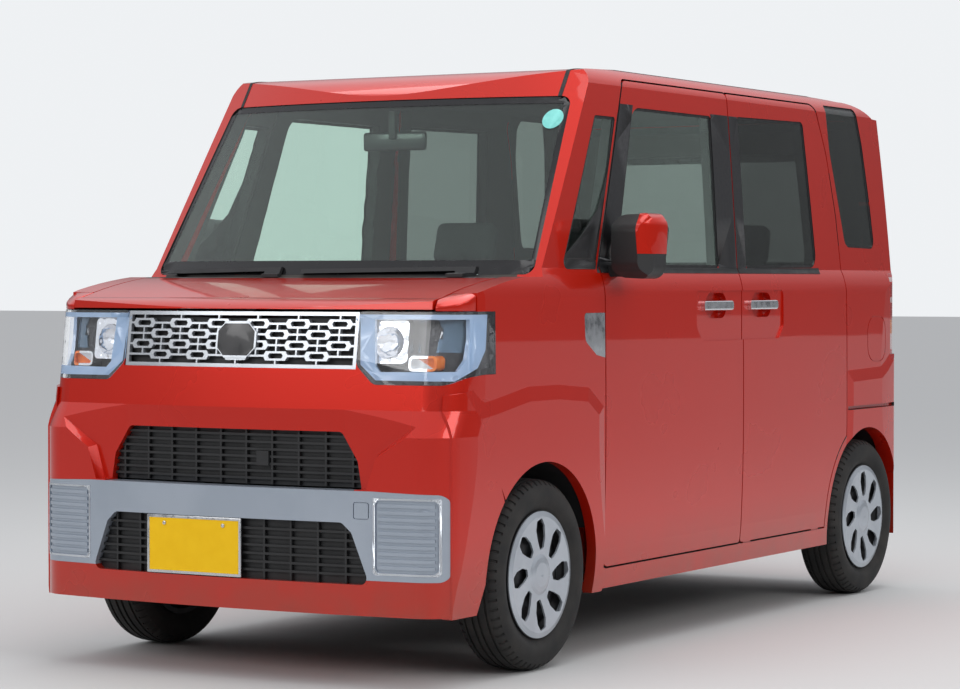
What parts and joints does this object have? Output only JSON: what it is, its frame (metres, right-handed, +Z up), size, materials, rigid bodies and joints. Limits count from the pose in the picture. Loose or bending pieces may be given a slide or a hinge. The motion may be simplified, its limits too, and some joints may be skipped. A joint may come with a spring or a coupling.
{
  "type": "tall-body kei car",
  "caption": "Tall boxy small car with opening front doors, bonnet and tailgate, fixed sliding doors, steering front wheels and a hollow glazed cabin.",
  "frame": {"origin": "on the ground, at mid width and mid length of the car", "axes": "+Z up; the nose points to -Y; the car's left side is +X"},
  "size_m": [1.756, 3.395, 1.8349],
  "materials": {
    "paint": "metallic clearcoat",
    "bare_steel": "satin black",
    "black_trim": "matte",
    "silver_trim": "satin metallic",
    "chrome": "bright",
    "lamp_clear": "clear",
    "lamp_red": "clear red",
    "lamp_body": "gloss",
    "glass": "light green",
    "privacy_glass": "dark",
    "plate": "matte yellow",
    "rubber": "matte",
    "tyre": "matte",
    "wheel": "silver lacquer",
    "chassis": "satin black",
    "engine": "as cast",
    "cabin_plastic": "grained",
    "seat_cloth": "woven",
    "exhaust": "dull"
  },
  "bodies": {
    "root": {"body_sides": "paint", "roof_panel": "paint", "floor_pan": "bare_steel", "firewall": "bare_steel", "wheelhouses": "black_trim", "front_fenders": "paint", "fender_garnishes": "silver_trim", "front_bumper": "paint", "bumper_garnish": "silver_trim", "bumper_mesh": "black_trim", "grille": "silver_trim", "headlamps": "lamp_body", "headlamp_lenses": "lamp_clear", "tail_lamps": "lamp_red", "front_plate": "plate", "windscreen": "glass", "quarter_glass": "privacy_glass", "sliding_doors": "paint", "sliding_door_glass": "privacy_glass", "sliding_door_handles": "chrome", "rear_bumper": "paint", "front_wipers": "rubber", "front_suspension": "chassis", "rear_axle": "chassis", "engine": "engine", "radiator": "black_trim", "exhaust": "exhaust", "fuel_tank": "black_trim", "dashboard": "cabin_plastic", "front_seats": "seat_cloth", "rear_seats": "seat_cloth"},
    "bonnet": {"bonnet_panel": "paint"},
    "front_door_left": {"door_left_panel": "paint", "door_left_glass": "glass", "door_left_mirror": "black_trim", "door_left_handle": "chrome"},
    "front_door_right": {"door_right_panel": "paint", "door_right_glass": "glass", "door_right_mirror": "black_trim", "door_right_handle": "chrome"},
    "tailgate": {"tailgate_panel": "paint", "tailgate_glass": "privacy_glass"},
    "knuckle_left": {"knuckle_left": "chassis"},
    "knuckle_right": {"knuckle_right": "chassis"},
    "steering_rack": {"steering_rack": "chassis"},
    "steering_wheel": {"steering_wheel": "cabin_plastic"},
    "wheel_front_left": {"tyre_front_left": "tyre", "wheel_front_left": "wheel"},
    "wheel_front_right": {"tyre_front_right": "tyre", "wheel_front_right": "wheel"},
    "wheel_rear_left": {"tyre_rear_left": "tyre", "wheel_rear_left": "wheel"},
    "wheel_rear_right": {"tyre_rear_right": "tyre", "wheel_rear_right": "wheel"}
  },
  "joints": [
    {"name": "bonnet_hinge", "type": "hinge", "parent": "root", "child": "bonnet", "pos_m": [0, -1.219, 1.1616], "axis": [-1, 0, 0], "range_deg": [0, 55]},
    {"name": "door_left_hinge", "type": "hinge", "parent": "root", "child": "front_door_left", "pos_m": [0.727, -0.67, 0.8], "axis": [0, 0, -1], "range_deg": [0, 65]},
    {"name": "door_right_hinge", "type": "hinge", "parent": "root", "child": "front_door_right", "pos_m": [-0.727, -0.67, 0.8], "axis": [0, 0, 1], "range_deg": [0, 65]},
    {"name": "tailgate_hinge", "type": "hinge", "parent": "root", "child": "tailgate", "pos_m": [0, 1.5, 1.7854], "axis": [1, 0, 0], "range_deg": [0, 80]},
    {"name": "steer_left", "type": "hinge", "parent": "root", "child": "knuckle_left", "pos_m": [0.612, -1.09, 0.284], "axis": [0, 0, 1], "range_deg": [-33, 33]},
    {"name": "steer_right", "type": "hinge", "parent": "root", "child": "knuckle_right", "pos_m": [-0.612, -1.09, 0.284], "axis": [0, 0, 1], "range_deg": [-33, 33]},
    {"name": "rack_slide", "type": "slide", "parent": "root", "child": "steering_rack", "axis": [1, 0, 0], "range_m": [-0.0462, 0.0462]},
    {"name": "steering_wheel_turn", "type": "hinge", "parent": "root", "child": "steering_wheel", "pos_m": [-0.33, -0.61, 0.975], "axis": [0, 0.8988, 0.4384], "range_deg": [-478.5, 478.5]},
    {"name": "spin_front_left", "type": "hinge", "parent": "knuckle_left", "child": "wheel_front_left", "pos_m": [0.648, -1.09, 0.284], "axis": [1, 0, 0], "continuous": true},
    {"name": "spin_front_right", "type": "hinge", "parent": "knuckle_right", "child": "wheel_front_right", "pos_m": [-0.648, -1.09, 0.284], "axis": [1, 0, 0], "continuous": true},
    {"name": "spin_rear_left", "type": "hinge", "parent": "root", "child": "wheel_rear_left", "pos_m": [0.648, 1.365, 0.284], "axis": [1, 0, 0], "continuous": true},
    {"name": "spin_rear_right", "type": "hinge", "parent": "root", "child": "wheel_rear_right", "pos_m": [-0.648, 1.365, 0.284], "axis": [1, 0, 0], "continuous": true}
  ],
  "couplings": [
    {"joint": "steer_right", "follows": "steer_left", "ratio": 1},
    {"joint": "rack_slide", "follows": "steer_left", "m_per_rad": -0.08},
    {"joint": "steering_wheel_turn", "follows": "steer_left", "ratio": 14.5}
  ]
}
